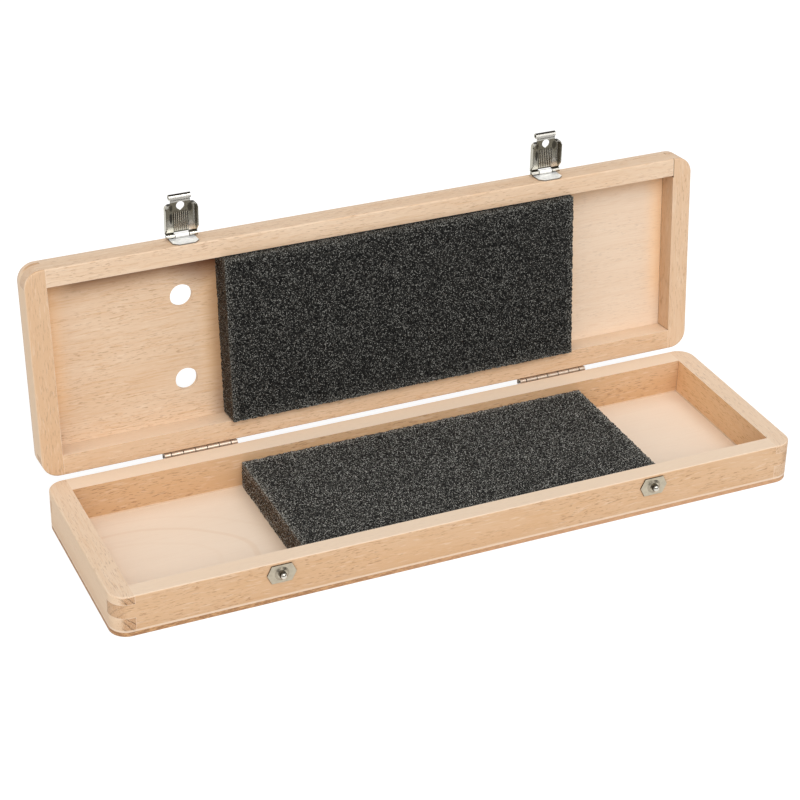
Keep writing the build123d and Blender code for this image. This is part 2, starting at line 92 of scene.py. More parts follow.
backwards = Vector((math.sin(AZIMUTH) * math.cos(ELEVATION),
                    -math.cos(AZIMUTH) * math.cos(ELEVATION),
                    math.sin(ELEVATION)))
camera_data = bpy.data.cameras.new("camera")
camera = bpy.data.objects.new("camera", camera_data)
bpy.context.scene.collection.objects.link(camera)
camera_data.sensor_width = 36.0
camera_data.lens = FOCAL_PIXELS / PICTURE * camera_data.sensor_width
camera_data.shift_x = ((PICTURE - 1) / 2 - LENS_COLUMN) / PICTURE
camera.location = TARGET + backwards * DISTANCE
camera.rotation_mode = "QUATERNION"
camera.rotation_quaternion = ((-backwards).to_track_quat("-Z", "Y")
                              @ Quaternion((0, 0, 1), ROLL))
bpy.context.scene.camera = camera
print("lens", round(camera_data.lens, 1), "mm, shift", round(camera_data.shift_x, 3))

# %% [markdown]
# ## A helper for node trees
#
# Every finish below is a tree of nodes, and so is the shape of the foam. Writing each node and
# link out in full hides what the tree is made of, so a small class gives each kind of node a
# short call that returns its output socket. A plain number or colour goes straight onto an
# input. A finish is such a tree with a material round it.

# %% Node helper
class Nodes:
    """A node tree under construction."""

    def __init__(self, tree):
        self.tree = tree

    def put(self, socket, value):
        """Links a socket, or sets a plain value."""
        if isinstance(value, bpy.types.NodeSocket):
            self.tree.links.new(value, socket)
        elif isinstance(value, tuple) and len(value) == 3 and socket.type == "RGBA":
            socket.default_value = (*value, 1.0)
        else:
            socket.default_value = value

    def node(self, kind, inputs=None, **settings):
        """A new node; a kind without a family's name in it is a shader's."""
        made = self.tree.nodes.new(kind if "Node" in kind else "ShaderNode" + kind)
        for key, value in settings.items():
            setattr(made, key, value)
        for key, value in (inputs or {}).items():
            self.put(made.inputs[key], value)
        return made

    def math(self, operation, a, b=0.0, c=0.0, clamp=False):
        made = self.node("Math", {0: a, 1: b, 2: c}, operation=operation, use_clamp=clamp)
        return made.outputs[0]

    def times(self, a, b):
        return self.math("MULTIPLY", a, b)

    def size(self, value):
        return self.math("ABSOLUTE", value)

    def vector(self, operation, a, b):
        key = "Scale" if operation == "SCALE" else 1
        return self.node("VectorMath", {0: a, key: b}, operation=operation).outputs[0]

    def axes(self, vector):
        return self.node("SeparateXYZ", {0: vector}).outputs

    def smooth(self, value, low, high):
        """0 below low, 1 above high, and a soft step between; low may be the larger."""
        made = self.node("MapRange", {"Value": value, "From Min": low, "From Max": high},
                         interpolation_type="SMOOTHSTEP")
        return made.outputs["Result"]

    def band(self, value, low, high, soft):
        """1 between low and high."""
        return self.times(self.smooth(value, low - soft, low + soft),
                          self.smooth(value, high + soft, high - soft))

    def mix(self, factor, a, b, blend="MIX"):
        made = self.node("Mix", {"Factor": factor}, data_type="RGBA", blend_type=blend)
        self.put(made.inputs[6], a)
        self.put(made.inputs[7], b)
        return made.outputs[2]

    def lay(self, colour, tone, mask, strength, blend="MIX"):
        """The colour with a tone laid over it where the mask is 1."""
        return self.mix(self.times(mask, strength), colour, tone, blend=blend)

    def place(self, vector, scale=(1, 1, 1), turn=(0, 0, 0), shift=(0, 0, 0), kind="POINT"):
        inputs = {"Vector": vector, "Scale": scale, "Rotation": turn}
        if kind == "POINT":
            inputs["Location"] = shift
        return self.node("Mapping", inputs, vector_type=kind).outputs[0]

    def noise(self, vector, detail=2.0, rough=0.5):
        made = self.node("TexNoise", {"Vector": vector, "Scale": 1.0, "Detail": detail,
                                      "Roughness": rough})
        return made.outputs["Fac"]

    def cells(self, vector):
        """Distance to the nearest cell's centre, and a random number for each cell."""
        made = self.node("TexVoronoi", {"Vector": vector, "Scale": 1.0})
        chance = self.node("SeparateColor", {0: made.outputs["Color"]}).outputs[0]
        return made.outputs["Distance"], chance


class Finish(Nodes):
    """A material under construction."""

    def __init__(self, name):
        self.material = bpy.data.materials.new(name)
        self.material.use_nodes = True
        super().__init__(self.material.node_tree)
        self.tree.nodes.clear()
        self.source = self.node("TexCoord").outputs
        self.output = self.node("OutputMaterial")

    def open_sky(self, reach):
        """1 on an open face and 0.5 in a square corner, looking `reach` mm around."""
        return self.node("AmbientOcclusion", {"Distance": reach * MM}, samples=6).outputs["AO"]

    def relief(self, strength, depth, height):
        """A bump `depth` mm deep."""
        return self.node("Bump", {"Strength": strength, "Distance": depth * MM,
                                  "Height": height}).outputs[0]

    def show(self, shader):
        """Puts a shader on the surface."""
        self.put(self.output.inputs["Surface"], shader.outputs[0])
        return self.material

    def finish(self, **shader):
        inputs = {key.replace("_", " "): value for key, value in shader.items()}
        return self.show(self.node("BsdfPrincipled", inputs))


def dress(node, material):
    """Gives a CAD piece its finish; its mesh and place stay as they are."""
    slots = frame["nodes"][node].data.materials
    slots.clear()
    slots.append(material)


print("helpers ready")

# %% [markdown]
# ## Beech, sawn and sanded
#
# Beech is pale and even, and what gives it away is a scatter of short dark dashes along the
# grain: rays cut across. The colour is built in layers, each a noise stretched along the
# board: slow drifts of tone, soft growth bands, fine lines and fibres, then the dashes, which
# are the peaks of one more noise and come in patches. The pattern is solid, so it runs round
# every edge. Where a face looks along the grain, as at the finger joints, rings show instead.
#
# The lid's boards lie turned on the open lid, so their coordinates are turned back first.

# %% Wood: coordinates of one board
JOINTS = {joint["name"]: joint for joint in frame["record"]["behaviour"]["joints"]}
OPEN_ANGLE = math.radians(max(JOINTS["lid_hinge"]["range_deg"]))
QUARTER = math.radians(90)


def in_mm(finish, **placing):
    """The object's own coordinates in millimetres."""
    return finish.place(finish.source["Object"], scale=(1 / MM,) * 3, **placing)


def board_space(finish, on_lid, across, shift):
    """Millimetres with X along the grain, and the face's direction in the same axes."""
    turn = (OPEN_ANGLE if on_lid else 0.0, 0.0, QUARTER if across else 0.0)
    facing = finish.place(finish.source["Normal"], turn=turn, kind="VECTOR")
    return in_mm(finish, turn=turn, shift=shift), facing


def stretched(finish, place, along, across):
    """Noise coordinates: one cell is `along` mm with the grain and `across` mm over it."""
    return finish.place(place, scale=(1 / along, 1 / across, 1 / across))


print("lid stands open at", round(math.degrees(OPEN_ANGLE)), "degrees")

# %% Wood: colours
PALE = (0.800, 0.612, 0.445)       # linear colours of freshly sanded beech
WARM = (0.640, 0.378, 0.190)
FLECK = (0.330, 0.160, 0.070)
RAY = (0.930, 0.780, 0.630)
RIM = (0.880, 0.725, 0.570)        # narrow faces, sawn across the growth rings
# Painted light on one face of a board: golden bounce light where only other wood lights it, and
# lamp light on an outer face.
BOUNCE_LIGHT = (1.000, 0.600, 0.270)       # a face that only other wood lights
LIT_SIDE = (0.850, 0.630, 0.430)   # an outer face towards the lamp
END = (0.180, 0.095, 0.045)
END_PALE = (0.620, 0.420, 0.265)
END_WARM = (0.500, 0.260, 0.120)
# Painted shade: a golden tone for corners, and a dark tone for the shade line in creases, which
# also colours a glue line.
CORNER_SHADE = (0.60, 0.46, 0.30)
SHADE_AND_GLUE_LINE = (0.130, 0.060, 0.025)
print("beech, as a linear colour, runs from", PALE, "to", WARM)

# %% Wood: layers of a face cut along the grain
# Sizes are in mm along the grain and over it.
DRIFT_SIZE = (120, 18)
WAVE_SIZE = (26, 7)
WAVE_HEIGHT = 3.2
PATCH_SIZE = (45, 9)               # of the patches with flecks in them
FLECK_SIZE = (4.2, 0.5)
STREAK_SIZE = (8.0, 0.9)
# Size, detail, roughness, the noise where a layer starts and where it is full, and strength.
GRAIN = ((160, 3.4, 3, 0.50, 0.45, 0.75, 0.25),      # growth bands
         (20, 0.75, 3, 0.65, 0.47, 0.70, 0.50),      # lines
         (5.0, 0.25, 2, 0.60, 0.50, 0.80, 0.20))     # fibres


def bent(finish, place):
    """The board's own coordinates with a slow wave in them, so that no line is ruled."""
    wave = finish.noise(stretched(finish, place, *WAVE_SIZE), detail=1)
    lift = finish.times(finish.math("SUBTRACT", wave, 0.5), WAVE_HEIGHT)
    return finish.vector("ADD", place, finish.node("CombineXYZ", {1: lift, 2: lift}).outputs[0])


def grain_layers(finish, place, warmth, flecks, fleck_size=FLECK_SIZE):
    """Colour of a face cut along the grain, and the noise of its fibres."""
    drift = finish.noise(stretched(finish, place, *DRIFT_SIZE), detail=2)
    warm = finish.math("MULTIPLY_ADD", finish.smooth(drift, 0.3, 0.7), 0.20, warmth)
    colour = finish.mix(warm, PALE, WARM)
    wavy = bent(finish, place)
    for along, over, detail, rough, start, full, strength in GRAIN:
        layer = finish.noise(stretched(finish, wavy, along, over), detail=detail, rough=rough)
        colour = finish.lay(colour, WARM, finish.smooth(layer, start, full), strength)
    marks = finish.noise(stretched(finish, wavy, *fleck_size), detail=2)
    patch = finish.noise(stretched(finish, place, *PATCH_SIZE), detail=1)
    filled = finish.times(finish.smooth(marks, 0.58, 0.65), finish.smooth(patch, 0.25, 0.60))
    colour = finish.lay(colour, FLECK, filled, flecks)
    streak = finish.noise(stretched(finish, wavy, *STREAK_SIZE), detail=1)
    return finish.lay(colour, RAY, finish.smooth(streak, 0.58, 0.72), 0.20), layer


print(len(GRAIN), "layers of grain, then flecks", FLECK_SIZE[0], "mm long")

# %% Wood: end grain and edges
RING_SLANT = math.radians(-40)
RING_PHASE = 2.3                   # radians of the wave for each mm
RING_WANDER = 7.0
CORNER_REACH = 13.0                # mm
# mm, of the painted dark shade line in creases
CREASE_SHADE_REACH = 0.8
EDGE_RADIUS = 0.5


def end_rings(finish, place, strength):
    """Colour of a face cut across the grain: slanting growth rings and open pores."""
    slanted = finish.place(place, turn=(RING_SLANT, 0, 0))
    wander = finish.noise(finish.place(place, scale=(0.16,) * 3), detail=1)
    phase = finish.math("ADD", finish.times(finish.axes(slanted)[1], RING_PHASE),
                        finish.times(wander, RING_WANDER))
    pores = finish.noise(finish.place(place, scale=(2.2,) * 3), detail=2)
    ground = finish.mix(finish.smooth(pores, 0.35, 0.65), END_PALE, END_WARM)
    ring = finish.times(finish.smooth(finish.math("SINE", phase), 0.60, 0.98),
                        finish.smooth(pores, 0.30, 0.60))
    return finish.lay(ground, END, ring, strength)


def sanded_edge_highlight(finish, colour, amount):
    """Every sharp edge is a little rounder and paler: partly sanding wear, partly a painted
    highlight on the eased edge.
    """
    rounded = finish.node("Bevel", {"Radius": EDGE_RADIUS * MM}, samples=4).outputs[0]
    ruled = finish.node("NewGeometry").outputs["True Normal"]
    same = finish.node("VectorMath", {0: rounded, 1: ruled}, operation="DOT_PRODUCT")
    return finish.lay(colour, RAY, finish.smooth(same.outputs["Value"], 0.995, 0.90), amount)


def corners(finish, colour, glow, seam, tone=CORNER_SHADE, blend="MULTIPLY"):
    """Painted golden shade in corners by `glow`, and a painted dark shade line right in them by
    `seam`.

    Light reaches a corner only off other wood, which leaves it weaker and more golden there, and
    that is painted into the colour.
    """
    painted_corner = finish.smooth(finish.open_sky(CORNER_REACH), 1.0, 0.5)
    colour = finish.lay(colour, tone, painted_corner, glow, blend=blend)
    if seam:
        # painted dark shade line in the crease
        line = finish.smooth(finish.open_sky(CREASE_SHADE_REACH), 0.85, 0.55)
        colour = finish.lay(colour, SHADE_AND_GLUE_LINE, line, seam)
    return colour


print("corner shade reaches", CORNER_REACH, "mm")

# %% Wood: one board's finish
ARRIS_HEIGHT = 0.9                 # mm
WOOD_SHINE = 0.30


def beech(name, on_lid, across, board, shift, painted_face=RIM, joint=None, arris=None):
    """One board's finish, from its traits.

    The face tone is painted light or shade on the board's face along -Y or -X. joint is the
    (x, z) above which a glue line shows on its rim, and arris the height of the pale line along
    its foot: the sanded arris, with a painted highlight on it.
    """
    finish = Finish(name)
    place, facing = board_space(finish, on_lid, across, shift)
    to_end, to_face, to_rim = finish.axes(facing)
    colour, fibres = grain_layers(finish, place, board["warmth"], board["flecks"])
    colour = finish.lay(colour, RIM, finish.smooth(finish.size(to_rim), 0.5, 0.9), board["rim"])
    # painted light or shade on the face along -Y or -X
    if board["inside"]:
        colour = finish.lay(colour, painted_face, finish.smooth(to_face, -0.5, -0.9),
                            board["inside"])
    ends = (0.80, 0.97) if across else (0.15, 0.45)
    cut = finish.smooth(finish.size(to_end), *ends)
    colour = finish.lay(colour, end_rings(finish, place, board["ends"]), cut, board["ends"])
    # paler edges: sanding wear with a painted highlight
    colour = sanded_edge_highlight(finish, colour, 0.5)
    # a pale line along the foot: the sanded arris, with a painted highlight on it
    if arris is not None:
        top = arris + ARRIS_HEIGHT
        height = finish.axes(finish.source["Object"])[2]
        foot = finish.smooth(height, (top + 0.1) * MM, (top - 0.1) * MM)
        colour = finish.lay(colour, RAY, foot, 0.6)
    colour = corners(finish, colour, board["glow"], board["seam"])
    if joint:
        x, _, z = finish.axes(in_mm(finish, shift=(-joint[0], 0, -joint[1])))
        line = finish.times(finish.smooth(x, 0.50, 0.25), finish.smooth(z, -0.3, 0.3))
        colour = finish.lay(colour, SHADE_AND_GLUE_LINE, line, 0.85)
    rough = finish.math("MULTIPLY_ADD", fibres, 0.12, 0.52)
    return finish.finish(Base_Color=colour, Roughness=rough, Specular_IOR_Level=WOOD_SHINE,
                         Normal=finish.relief(0.25, 0.06, fibres))


print("wood finish ready, arris", ARRIS_HEIGHT, "mm high")

# %% Wood: the slats
# Each slat came from another board. Its traits are its warmth and its flecks, how pale its rim
# is, how far its face towards -Y or -X takes painted light or shade, and how strong are its end
# grain, the painted shade in its corners and the painted dark shade line right in them.
SLATS = ("front_slat", "back_slat", "left_end", "right_end")
TRAITS = ("warmth", "flecks", "rim", "inside", "ends", "glow", "seam")
BOARDS = {"base_front_slat": (0.55, 0.55, 0.74, 0.0, 0.60, 0.3, 0.5),
          "base_back_slat": (0.68, 0.70, 0.84, 0.0, 0.20, 0.2, 0.2),
          "base_left_end": (0.06, 0.50, 0.22, 0.7, 1.00, 0.3, 0.3),
          "base_right_end": (0.26, 0.95, 0.45, 0.45, 0.20, 0.1, 0.5),
          "lid_front_slat": (0.10, 0.45, 0.10, 0.0, 0.30, 0.3, 0.5),
          "lid_back_slat": (0.36, 0.55, 0.05, 0.6, 0.30, 0.25, 0.3),
          "lid_left_end": (0.72, 0.50, 0.16, 0.9, 0.60, 0.3, 0.3),
          "lid_right_end": (0.44, 0.45, 0.10, 0.0, 0.20, 0.0, 0.8)}
# Painted light on one face: bounce light on the base's inner right face, lamp light on the outer
# left faces, and the rim's tone as painted top light on the lid's ledge.
PAINTED_FACES = {"base_right_end": BOUNCE_LIGHT, "base_left_end": LIT_SIDE, "lid_left_end": LIT_SIDE}
LID_JOINT = (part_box("lid_right_end")[0].x / MM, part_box("lid_front_slat")[0].z / MM)
FIRST_BOARD = 410.0                # mm into the wood, so that no two slats look alike
NEXT_BOARD = (137.0, 61.0)
LID_BOARDS = 43.0
base_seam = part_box("base_bottom_panel")[1].z / MM
for tray in ("base", "lid"):
    for index, slat in enumerate(SLATS):
        name = f"{tray}_{slat}"
        board = dict(zip(TRAITS, BOARDS[name]))
        shift = (FIRST_BOARD + NEXT_BOARD[0] * index, NEXT_BOARD[1] * index,
                 LID_BOARDS * (tray == "lid"))
        dress(name, beech(name + "_beech", tray == "lid", slat.endswith("_end"), board, shift,
                          painted_face=PAINTED_FACES.get(name, RIM),
                          joint=LID_JOINT if name == "lid_right_end" else None,
                          arris=base_seam if tray == "base" else None))
print(len(BOARDS), "slats dressed, glue line at", [round(v, 1) for v in LID_JOINT])

# %% [markdown]
# ## Plywood panels
#
# The panels are thin plywood faced with beech. Their faces carry a peeled or sliced veneer:
# the lid's has many small dashes, and the base's is paler, with the wide soft arches of a
# log cut near its middle. Arches are rings round a long thin ellipse, so the distance from a
# squashed centre line is all that the pattern needs. The edge shows the darker core under a
# pale face veneer, found by its height in the sheet.

# %% Plywood: arches and shade
ARCH_CENTRE = (-160.0, -14.0)      # mm
ARCH_RADIUS = 39.0                 # over the board, of the ring that shows best
ARCH_STRETCH = 1.56
ARCH_PITCH = 11.0
ARCH_WOBBLE = 6.0
ARCH_STRENGTH = 0.15
RIM_SHADE = (0.16, 0.05, 0.01)     # under the lid's top rim, beside the pad
RIM_SHADE_REACH = (14.0, 28.0)     # mm, at the left and at the pad
PAD_SHADE = 0.4


def arches(finish, place, colour):
    """Faint arches of growth rings round a point on the board."""
    x, y, _ = finish.axes(finish.place(place, shift=(-ARCH_CENTRE[0], -ARCH_CENTRE[1], 0)))
    bend = finish.noise(stretched(finish, place, 60, 25), detail=1)
    long_way = finish.math("DIVIDE", x, ARCH_STRETCH)
    far = finish.math("SQRT", finish.math("ADD", finish.times(long_way, long_way),
                                          finish.times(y, y)))
    far = finish.math("ADD", far, finish.times(finish.math("SUBTRACT", bend, 0.5), ARCH_WOBBLE))
    off = finish.math("SUBTRACT", far, ARCH_RADIUS)
    wave = finish.math("COSINE", finish.times(off, math.tau / ARCH_PITCH))
    best = finish.smooth(finish.size(off), 16.0, 2.0)
    return finish.lay(colour, WARM, finish.smooth(wave, 0.75, 1.0),
                      finish.times(best, ARCH_STRENGTH))


def under_rim(finish, colour):
    """The shade that the lid's top rim and the pad throw on the panel left of the pad."""
    x, _, upright = finish.axes(finish.source["Object"])
    inner = finish.smooth(finish.axes(finish.source["Normal"])[1], -0.5, -0.9)
    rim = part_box("lid_front_slat")[0].z
    inside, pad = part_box("lid_left_end")[1].x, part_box("lid_foam_pad")[0].x
    closer = finish.smooth(x, pad - 30 * MM, pad)
    least, most = (reach * MM for reach in RIM_SHADE_REACH)
    start = finish.math("SUBTRACT", rim - least, finish.times(closer, most - least))
    shade = finish.smooth(upright, start, rim + 1 * MM)
    beside = finish.times(finish.smooth(x, inside + 2 * MM, inside + 20 * MM),
                          finish.smooth(x, pad + 20 * MM, pad + 5 * MM))
    depth = finish.math("ADD", finish.times(closer, 0.1), 0.9)
    pad_shade = finish.times(finish.smooth(x, pad - 10 * MM, pad), PAD_SHADE)
    shade = finish.math("MAXIMUM", finish.times(shade, depth), pad_shade)
    return finish.lay(colour, RIM_SHADE, finish.times(shade, beside), inner, blend="MULTIPLY")


print("arches", ARCH_PITCH, "mm apart, rim's shade", RIM_SHADE_REACH, "mm")

# %% Plywood finish
CORE = (0.380, 0.200, 0.095)
CORE_PALE = (0.720, 0.440, 0.270)
PALE_VENEER = (0.910, 0.775, 0.640)
PLY_FACE = 0.2                     # mm of pale veneer next to the frame
PLY_FLECK_SIZE = (4.0, 0.5)


def plywood(name, on_lid, seam, warmth, pale, flecks, shift, glow, pale_from=None):
    """A panel's finish; seam is the height of its glued face on the closed box, in mm."""
    finish = Finish(name)
    place, facing = board_space(finish, on_lid, False, shift)
    along, _, height = finish.axes(place)
    colour, fibres = grain_layers(finish, place, warmth, flecks, fleck_size=PLY_FLECK_SIZE)
    if pale_from is not None:
        start = shift[0] + pale_from
        pale = finish.times(finish.smooth(along, start, start + 80.0), pale)
    colour = finish.mix(pale, colour, PALE_VENEER)
    if not on_lid:
        colour = arches(finish, finish.place(place, shift=tuple(-v for v in shift)), colour)
    deep = finish.size(finish.math("SUBTRACT", height, seam + shift[2]))
    core = finish.smooth(deep, PLY_FACE - 0.1, PLY_FACE + 0.1)
    edge = finish.smooth(finish.size(finish.axes(facing)[2]), 0.6, 0.3)
    speckle = finish.noise(finish.place(place, scale=(0.35, 0.35, 1.2)), detail=3, rough=0.7)
    stripe = finish.mix(finish.smooth(speckle, 0.40, 0.62), CORE, WARM)
    if on_lid:
        stripe = finish.mix(0.75, stripe, PALE)
    else:                          # the core pales towards the right
        paler = finish.smooth(along, shift[0] - 110.0, shift[0] + 60.0)
        stripe = finish.lay(stripe, CORE_PALE, paler, 0.6)
    colour = finish.lay(finish.lay(colour, RAY, edge, 0.8), stripe, core, edge)
    if on_lid:                     # the low ledge lights its own corner
        upright = finish.axes(finish.source["Object"])[2]
        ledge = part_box("lid_back_slat")[1].z
        glow = finish.times(finish.smooth(upright, ledge + 2 * MM, ledge + 30 * MM), glow)
        # painted golden bounce light in the lid panel's corners, faded out by the low ledge
        colour = corners(finish, colour, glow, 0.0, tone=BOUNCE_LIGHT, blend="MIX")
        colour = under_rim(finish, colour)
    else:
        # painted shade in the base panel's corners
        colour = corners(finish, colour, glow, 0.0)
    return finish.finish(Base_Color=colour, Roughness=0.55, Specular_IOR_Level=WOOD_SHINE,
                         Normal=finish.relief(0.2, 0.05, fibres))


# Object coordinates are turned about the origin, not about the pin, so the height of the lid's
# seam in its own axes is read from the panel's corners.
lid_corners = [Matrix.Rotation(OPEN_ANGLE, 3, "X") @ v.co
               for v in frame["nodes"]["lid_top_panel"].data.vertices]
lid_seam = min(v.z for v in lid_corners) / MM
print("seams at", round(base_seam, 1), "and", round(lid_seam, 1), "mm in each tray's own axes")

# %% Plywood panels
dress("base_bottom_panel", plywood("base_panel_beech", False, base_seam, warmth=0.03, pale=0.80,
                                   flecks=0.10, shift=(11.0, 5.0, 90.0), glow=0.32))
dress("lid_top_panel", plywood("lid_panel_beech", True, lid_seam, warmth=0.14, pale=0.40,
                               flecks=0.42, shift=(300.0, 20.0, 200.0), glow=0.55,
                               pale_from=50.0))
print("panels dressed")

# %% [markdown]
# ## Nickel plate
#
# Hinges, latches and strikes are thin pressed steel with a bright plate. A metal has no
# colour but its reflections, so the finish is a metallic shader with a warm grey tint and a
# roughness that drifts a little, as rolled sheet does. Faces that look along the sheet, its cut
# edges, get another tint, which is painted shade. The latch plates lie flat under the lamp and
# show nearly white, so their colour is a painted reflection of the lamp: most of their shader
# is plain white and only a part is metal.

# %% Nickel finish
def nickel(name, tint, edge, roughness, smear, face=1, facing=(0.2, 0.6), metallic=1.0,
           barrel=None):
    """A plated metal; faces that look along axis `face` have the tint, the rest the edge's tone,
    which is painted shade where it is darker.

    barrel is the height in mm above which a curled knuckle starts, which keeps the tint all round.
    """
    finish = Finish(name)
    place = in_mm(finish)
    drift = finish.noise(finish.place(place, scale=(0.5,) * 3), detail=3)
    marks = finish.noise(finish.place(place, scale=(6.0, 0.8, 0.8)), detail=2)
    rough = finish.math("MULTIPLY_ADD", drift, smear, roughness - smear / 2)
    flat = finish.smooth(finish.size(finish.axes(finish.source["Normal"])[face]), *facing)
    if barrel is not None:
        curled = finish.smooth(finish.axes(place)[2], barrel - 0.1, barrel + 0.1)
        flat = finish.math("MAXIMUM", flat, curled)
    colour = finish.mix(finish.smooth(drift, 0.3, 0.8), tint, tuple(0.86 * c for c in tint))
    return finish.finish(Base_Color=finish.mix(flat, edge, colour), Metallic=metallic,
                         Roughness=rough, Normal=finish.relief(0.15, 0.02, marks))


print("nickel finish ready")

# %% Metal pieces
NICKEL = (0.72, 0.69, 0.62)
HINGE_METAL = (0.56, 0.45, 0.36)
STRIKE_METAL = (0.55, 0.49, 0.38)
# painted shade on the strikes' cut edges
STRIKE_EDGE_SHADE = (0.08, 0.05, 0.03)
STUD_METAL = (0.70, 0.66, 0.58)
# the pin's own dark steel, also painted shade on the stud's sides
DARK_STEEL_AND_SHADE = (0.060, 0.050, 0.040)
# nearly white, a painted reflection of the lamp on the latch plates; their edges take painted
# shade
PLATE_LAMP_REFLECTION = (1.0, 0.995, 0.97)
PLATE_EDGE_SHADE = (0.20, 0.18, 0.15)
BARREL_FOOT = -0.30                  # mm from a latch's pin; below it the barrel lies in shade
knuckle_foot = JOINTS["latch_left_swing"]["pos_m"][2] / MM + BARREL_FOOT
# the stud and the strikes take painted shade on faces that turn away from the front
finishes = {"stud": nickel("stud_nickel", STUD_METAL, DARK_STEEL_AND_SHADE, 0.14, 0.10, facing=(0.30, 0.85)),
            "plate": nickel("plate_nickel", PLATE_LAMP_REFLECTION, PLATE_EDGE_SHADE, 0.40, 0.10, face=2,
                            metallic=0.25, barrel=knuckle_foot),
            "strike": nickel("strike_nickel", STRIKE_METAL, STRIKE_EDGE_SHADE, 0.34, 0.20,
                             facing=(0.60, 1.01)),
            "hinge": nickel("dull_nickel", HINGE_METAL, HINGE_METAL, 0.35, 0.20, metallic=0.85),
            "pin": nickel("pin_steel", DARK_STEEL_AND_SHADE, DARK_STEEL_AND_SHADE, 0.45, 0.10)}
for name in frame["nodes"]:
    if name.endswith("_pin"):
        dress(name, finishes["pin"])
    elif name.startswith("strike_") and name.endswith("_plate"):
        dress(name, finishes["strike"])
    elif name.startswith("latch_") and name.endswith("_plate"):
        dress(name, finishes["plate"])
    elif name.endswith("_stud"):
        dress(name, finishes["stud"])
    elif name.startswith("hinge_") or name.endswith("_screws"):
        dress(name, finishes["hinge"])
print("metal dressed in", len(finishes), "finishes")

# %% [markdown]
# ## The snap covers
#
# The inside of each cover is what the open box shows. The press has drawn the sheet into fine
# flutes between the barrel and the snap hole. Their shade and highlights are painted, and so are
# the sheet's reflections: dark by the hole and lighter towards the barrel. The pattern follows
# from the distance to the pin and from the cover's middle, which the frame gives, so it stays on
# the sheet when the cover swings.

# %% Covers: colours and heights
# painted reflections on the cover's inside, then a painted highlight tone and a painted shade tone
INSIDE_LOW = (0.66, 0.63, 0.53)      # by the barrel
INSIDE_HIGH = (0.30, 0.27, 0.20)     # by the snap hole
PAINTED_HIGHLIGHT = (0.86, 0.83, 0.76)
PAINTED_SHADE = (0.035, 0.030, 0.022)
# painted light and shade on the flanges: lit on the left, shaded on the right
LIT_FLANGE = (0.46, 0.44, 0.37)
SHADED_FLANGE = (0.14, 0.12, 0.09)
FLUTE_PITCH = 1.06                   # mm, as the pressed ribs
FLUTE_HALF = 4.0
FLUTED = (2.0, 12.5)                 # mm above the pin
CREASE = (0.95, 1.65)                # mm above the pin, where the barrel meets the sheet
NOTCH_HALF = 3.8                     # the sheet is cut away round the plate's knuckle
NOTCH_RISE = 0.65
SHEET_TOP = 17.2
NECK_SHINE = 17.7                    # the neck bends towards the lip from here
LIP = 18.6                           # the rolled lip starts
# Painted dark reflections and highlights: across, up, half width, half height, colour, strength.
SPOTS = ((-5.1, 9.3, 0.8, 2.9, PAINTED_SHADE, 0.85), (-4.9, 14.8, 0.8, 1.8, PAINTED_SHADE, 0.70),
         (4.9, 14.2, 1.3, 2.4, PAINTED_SHADE, 0.70), (5.2, 3.9, 1.5, 2.9, PAINTED_HIGHLIGHT, 0.80),
         (-6.4, 4.5, 1.2, 4.0, PAINTED_HIGHLIGHT, 0.35), (7.0, 9.0, 0.35, 8.0, PAINTED_HIGHLIGHT, 0.80),
         (-7.0, 15.8, 1.1, 1.2, PAINTED_HIGHLIGHT, 0.85), (6.9, 16.4, 1.2, 1.0, PAINTED_HIGHLIGHT, 0.75))
# every spot is a painted dark reflection or a painted highlight
print(len(SPOTS), "stains and highlights on a cover")

# %% Covers: finish
def sheet_reflections(finish, place, across, up):
    """Painted reflections on the plate, its flutes in painted shade and highlight, and painted
    spots.
    """
    # painted reflections: dark by the snap hole, light by the barrel
    soft = finish.noise(finish.place(place, scale=(0.35, 0.35, 0.14)), detail=1)
    fade = finish.math("ADD", up, finish.times(finish.math("SUBTRACT", soft, 0.5), 12.0))
    colour = finish.mix(finish.smooth(fade, 2.0, 15.0), INSIDE_LOW, INSIDE_HIGH)
    # streaks: partly brushed marks, partly a painted sheen
    streak = finish.noise(finish.place(place, scale=(1.6, 0.3, 0.07)), detail=2)
    colour = finish.lay(colour, PAINTED_HIGHLIGHT, finish.smooth(streak, 0.55, 0.75), 0.45)
    # each flute gets a painted shade and a painted highlight
    wave = finish.math("COSINE", finish.times(across, math.tau / FLUTE_PITCH))
    inside = finish.times(finish.band(up, *FLUTED, 0.8),
                          finish.smooth(finish.size(across), FLUTE_HALF + 0.3, FLUTE_HALF))
    colour = finish.lay(colour, PAINTED_SHADE, finish.times(inside, 0.95), finish.smooth(wave, 0.0, -0.8))
    colour = finish.lay(colour, PAINTED_HIGHLIGHT, finish.times(inside, 0.45), finish.smooth(wave, 0.3, 0.9))
    # painted dark reflections and highlights
    for x, z, half_width, half_height, tone, strength in SPOTS:
        offset = finish.place(place, shift=(-x / half_width, 0, -z / half_height),
                              scale=(1 / half_width, 0, 1 / half_height))
        far = finish.node("VectorMath", {0: offset}, operation="LENGTH").outputs["Value"]
        colour = finish.lay(colour, tone, finish.smooth(far, 1.15, 0.75), strength)
    return colour


